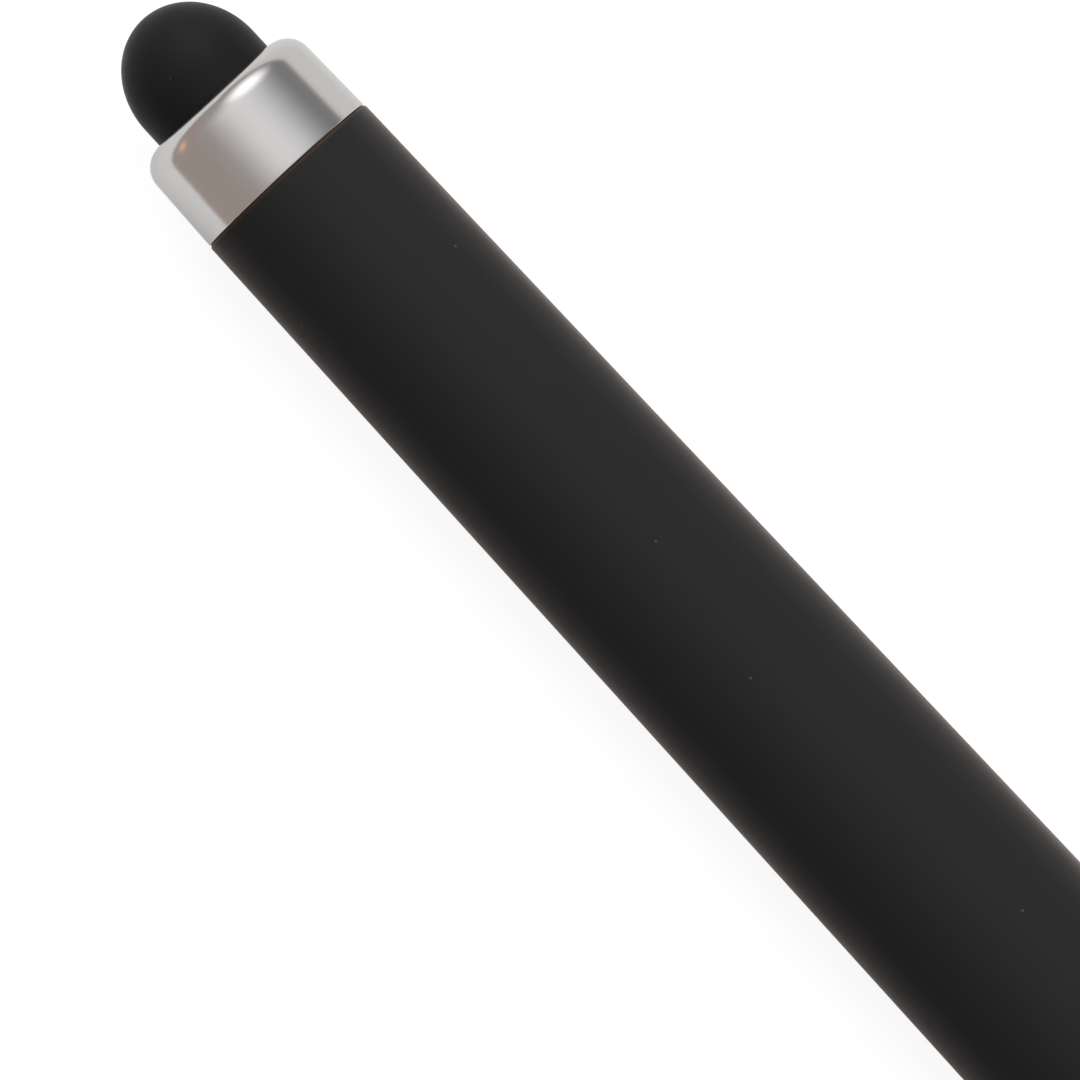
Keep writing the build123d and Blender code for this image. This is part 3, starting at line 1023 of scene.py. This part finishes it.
def facing(tree, direction):
    """How far the world's direction agrees with a given one, from -1 to 1."""
    coordinates = add_node(tree, "ShaderNodeTexCoord")
    dot = add_node(tree, "ShaderNodeVectorMath", {1: direction})
    dot.operation = "DOT_PRODUCT"
    tree.links.new(coordinates.outputs["Generated"], dot.inputs[0])
    return dot.outputs["Value"]


def soft_spot(tree, place, edge):
    """Round spot of the world: 1 in its middle, fading to 0 where the directions only agree to the edge."""
    near = add_node(tree, "ShaderNodeMapRange", {"From Min": edge})
    tree.links.new(facing(tree, pen_direction(place)), near.inputs["Value"])
    fade = add_node(tree, "ShaderNodeMath", {1: SPOT_FADE})
    fade.operation = "POWER"
    tree.links.new(near.outputs["Result"], fade.inputs[0])
    return fade.outputs["Value"]


def studio_surround():
    """World: pale behind the pen, greys round the rest, a soft glow and a lamp's bright spot."""
    world = bpy.data.worlds.new("studio_surround")
    bpy.context.scene.world = world
    world.use_nodes = True
    tree = world.node_tree
    tree.nodes.clear()
    colour = ramp(tree, spread(tree, facing(tree, across), *WARM_TURNS), WARM_GREY, MID_GREY)
    colour = mix_in(tree, "MIX", spread(tree, facing(tree, across), *COOL_TURNS), colour, COOL_GREY)
    colour = mix_in(tree, "ADD", soft_spot(tree, GLOW_PLACE, GLOW_EDGE), colour, GLOW)
    colour = mix_in(tree, "ADD", soft_spot(tree, LAMP_PLACE, LAMP_EDGE), colour, LAMP_GLOW)
    colour = mix_in(tree, "MIX", spread(tree, facing(tree, -to_camera), *PALE_STARTS), colour, PALE)
    background = add_node(tree, "ShaderNodeBackground")
    tree.links.new(colour, background.inputs["Color"])
    output = add_node(tree, "ShaderNodeOutputWorld")
    tree.links.new(background.outputs["Background"], output.inputs["Surface"])


def soft_lamp():
    """Large soft lamp above the tip's end of the pen. The metal mirrors the world's bright spot instead."""
    direction = pen_direction(LAMP_PLACE)
    data = bpy.data.lights.new("soft_lamp", "AREA")
    data.shape = "SQUARE"
    data.size = LAMP_SIZE
    data.energy = LAMP_POWER
    lamp = bpy.data.objects.new("soft_lamp", data)
    bpy.context.scene.collection.objects.link(lamp)
    lamp.location = Vector((seam, 0, 0)) + direction * LAMP_DISTANCE
    lamp.rotation_euler = direction.to_track_quat("Z", "Y").to_euler()
    lamp.visible_camera = False
    lamp.visible_glossy = False


# The pen, with each piece on its body

soft_touch = soft_touch_finish()
chrome = satin_chrome_finish()
spring_steel = spring_steel_finish()
brass = brass_finish()
refill_steel = refill_steel_finish()
acetal = cam_plastic_finish()

tip = soft_tip()
place_piece(tip, "stylus_tip", None, rubber_finish())
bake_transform(tip)
place_piece(chrome_ferrule(), "ferrule", "upper", chrome)
place_piece(tapered_barrel(), "upper_barrel", "upper", soft_touch)
place_piece(twist_ring(), "centre_ring", "lower", chrome)
place_piece(grip_barrel(), "lower_barrel", "lower", soft_touch)
place_piece(chrome_nose(), "nose_cone", "lower", chrome)
place_piece(metal_point(), "refill_point", "refill", refill_steel)
place_piece(rolling_ball(), "writing_ball", "ball", carbide_finish())
place_piece(sprung_clip(), "clip", "clip", chrome)

for name in ("tip_plug", "upper_bush", "guide_sleeve", "lower_bush"):
    dress(nodes[name], brass)
for name in ("snap_ring", "cross_pin", "return_spring"):
    dress(nodes[name], spring_steel)
for name in ("cam_tube", "pusher"):
    dress(nodes[name], acetal)
dress(nodes["friction_ring"], nitrile_finish())
dress(nodes["refill_tube"], refill_steel)
dress(nodes["refill_cap"], refill_plastic_finish())
dress(nodes["ink_fill"], ink_finish())
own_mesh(nodes["return_spring"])

# The studio round it

studio_camera()
studio_floor()
grey_card_centre = (0, GREY_CARD_NEAR - GREY_CARD_SIZE[1] / 2)
lying_card("grey_card", grey_card_centre, GREY_CARD_SIZE, CARD_LEVEL, WARM_GREY, WARM_GREY)
lying_card("orange_card", ORANGE_CENTRE, ORANGE_SIZE, 2 * CARD_LEVEL, ORANGE, WARM_GREY)
studio_surround()
soft_lamp()
bpy.context.scene.view_settings.view_transform = "Standard"
